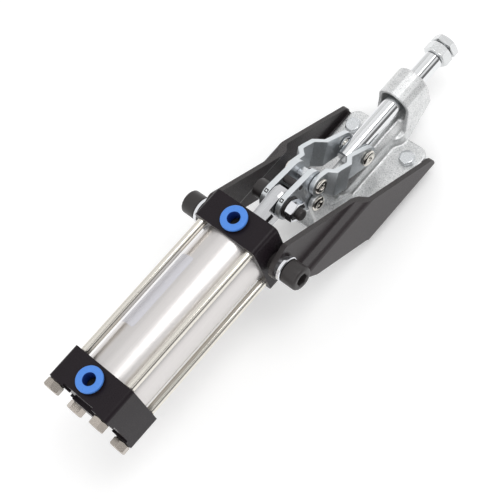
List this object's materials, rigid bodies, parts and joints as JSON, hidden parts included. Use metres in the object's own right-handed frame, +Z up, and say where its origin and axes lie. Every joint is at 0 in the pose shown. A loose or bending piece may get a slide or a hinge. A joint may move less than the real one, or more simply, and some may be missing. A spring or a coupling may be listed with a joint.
{
  "type": "pneumatic push clamp",
  "caption": "Pneumatic push clamp: a tilting air cylinder between two black brackets turns a toggle lever and links that push a steel plunger through a cast base.",
  "frame": {"origin": "centre of the four mounting screws, on the mounting plane under the bracket feet", "axes": "+X along the plunger, the way it pushes; +Y to the left; +Z up, away from the mounting plane"},
  "size_m": [0.3485, 0.0964, 0.0972],
  "materials": {
    "cast_zinc": "cast, zinc plated, satin",
    "bracket_black": "black paint, semi-matte",
    "cap_black": "black anodised, satin",
    "tube_silver": "bright anodised, satin",
    "zinc_plate": "white zinc plate",
    "polished_steel": "hard chrome, polished",
    "nickel": "nickel plate, bright",
    "black_oxide": "black oxide, oiled",
    "ring_blue": "blue acetal, gloss",
    "brass_body": "turned brass",
    "seal_rubber": "black nitrile rubber",
    "wear_ring_plastic": "filled plastic band"
  },
  "bodies": {
    "base": {"base_casting": "cast_zinc", "bracket_left": "bracket_black", "bracket_right": "bracket_black", "mounting_screws": "zinc_plate", "ground_pin": "nickel", "trunnion_bush_left": "nickel", "trunnion_bush_right": "nickel"},
    "cylinder": {"rear_cap": "cap_black", "front_head": "cap_black", "tube": "tube_silver", "tie_rods": "nickel", "rear_nuts": "nickel", "rod_gland": "nickel", "rod_seal": "seal_rubber", "tube_seals": "seal_rubber", "trunnion_screw_left": "black_oxide", "trunnion_screw_right": "black_oxide", "trunnion_collars": "black_oxide", "fitting_rear": "brass_body", "fitting_front": "brass_body"},
    "ring_rear": {"release_ring_rear": "ring_blue"},
    "ring_front": {"release_ring_front": "ring_blue"},
    "rod": {"piston_rod": "polished_steel", "piston": "tube_silver", "piston_seals": "seal_rubber", "piston_wear_ring": "wear_ring_plastic", "piston_nut": "zinc_plate"},
    "lever": {"lever_plate_left": "zinc_plate", "lever_plate_right": "zinc_plate", "lever_spacer": "black_oxide", "cross_bolt": "black_oxide", "cross_nut": "nickel", "cross_washers": "black_oxide", "link_pin": "nickel", "link_pin_sleeve": "zinc_plate"},
    "links": {"link_plate_left": "zinc_plate", "link_plate_right": "zinc_plate"},
    "plunger": {"plunger": "polished_steel", "plunger_pin": "nickel", "plunger_pin_collars": "zinc_plate", "spindle_bolt": "zinc_plate", "lock_nut": "zinc_plate"}
  },
  "joints": [
    {"name": "lever_turn", "type": "hinge", "parent": "base", "child": "lever", "pos_m": [-0.0468, 0, 0.042], "axis": [0, 1, 0], "range_deg": [0, 71]},
    {"name": "link_turn", "type": "hinge", "parent": "lever", "child": "links", "pos_m": [-0.0405, 0, 0.055], "axis": [0, 1, 0], "range_deg": [-89, 0]},
    {"name": "plunger_slide", "type": "slide", "parent": "base", "child": "plunger", "axis": [1, 0, 0], "range_m": [0, 0.0156]},
    {"name": "cylinder_tilt", "type": "hinge", "parent": "base", "child": "cylinder", "pos_m": [-0.0984, 0, 0.0605], "axis": [0, 1, 0], "range_deg": [-8, 0]},
    {"name": "rod_slide", "type": "slide", "parent": "cylinder", "child": "rod", "axis": [1, 0, 0], "range_m": [0, 0.0295]},
    {"name": "ring_rear_press", "type": "slide", "parent": "cylinder", "child": "ring_rear", "axis": [0, 0, -1], "range_m": [0, 0.0012], "stiffness_N_per_m": 600},
    {"name": "ring_front_press", "type": "slide", "parent": "cylinder", "child": "ring_front", "axis": [0, 0, -1], "range_m": [0, 0.0012], "stiffness_N_per_m": 600}
  ],
  "couplings": [
    {"joint": "link_turn", "follows": "lever_turn", "ratio": -1.2457},
    {"joint": "plunger_slide", "follows": "lever_turn", "m_per_rad": 0.01248},
    {"joint": "cylinder_tilt", "follows": "lever_turn", "ratio": -0.111},
    {"joint": "rod_slide", "follows": "lever_turn", "m_per_rad": 0.02368}
  ]
}
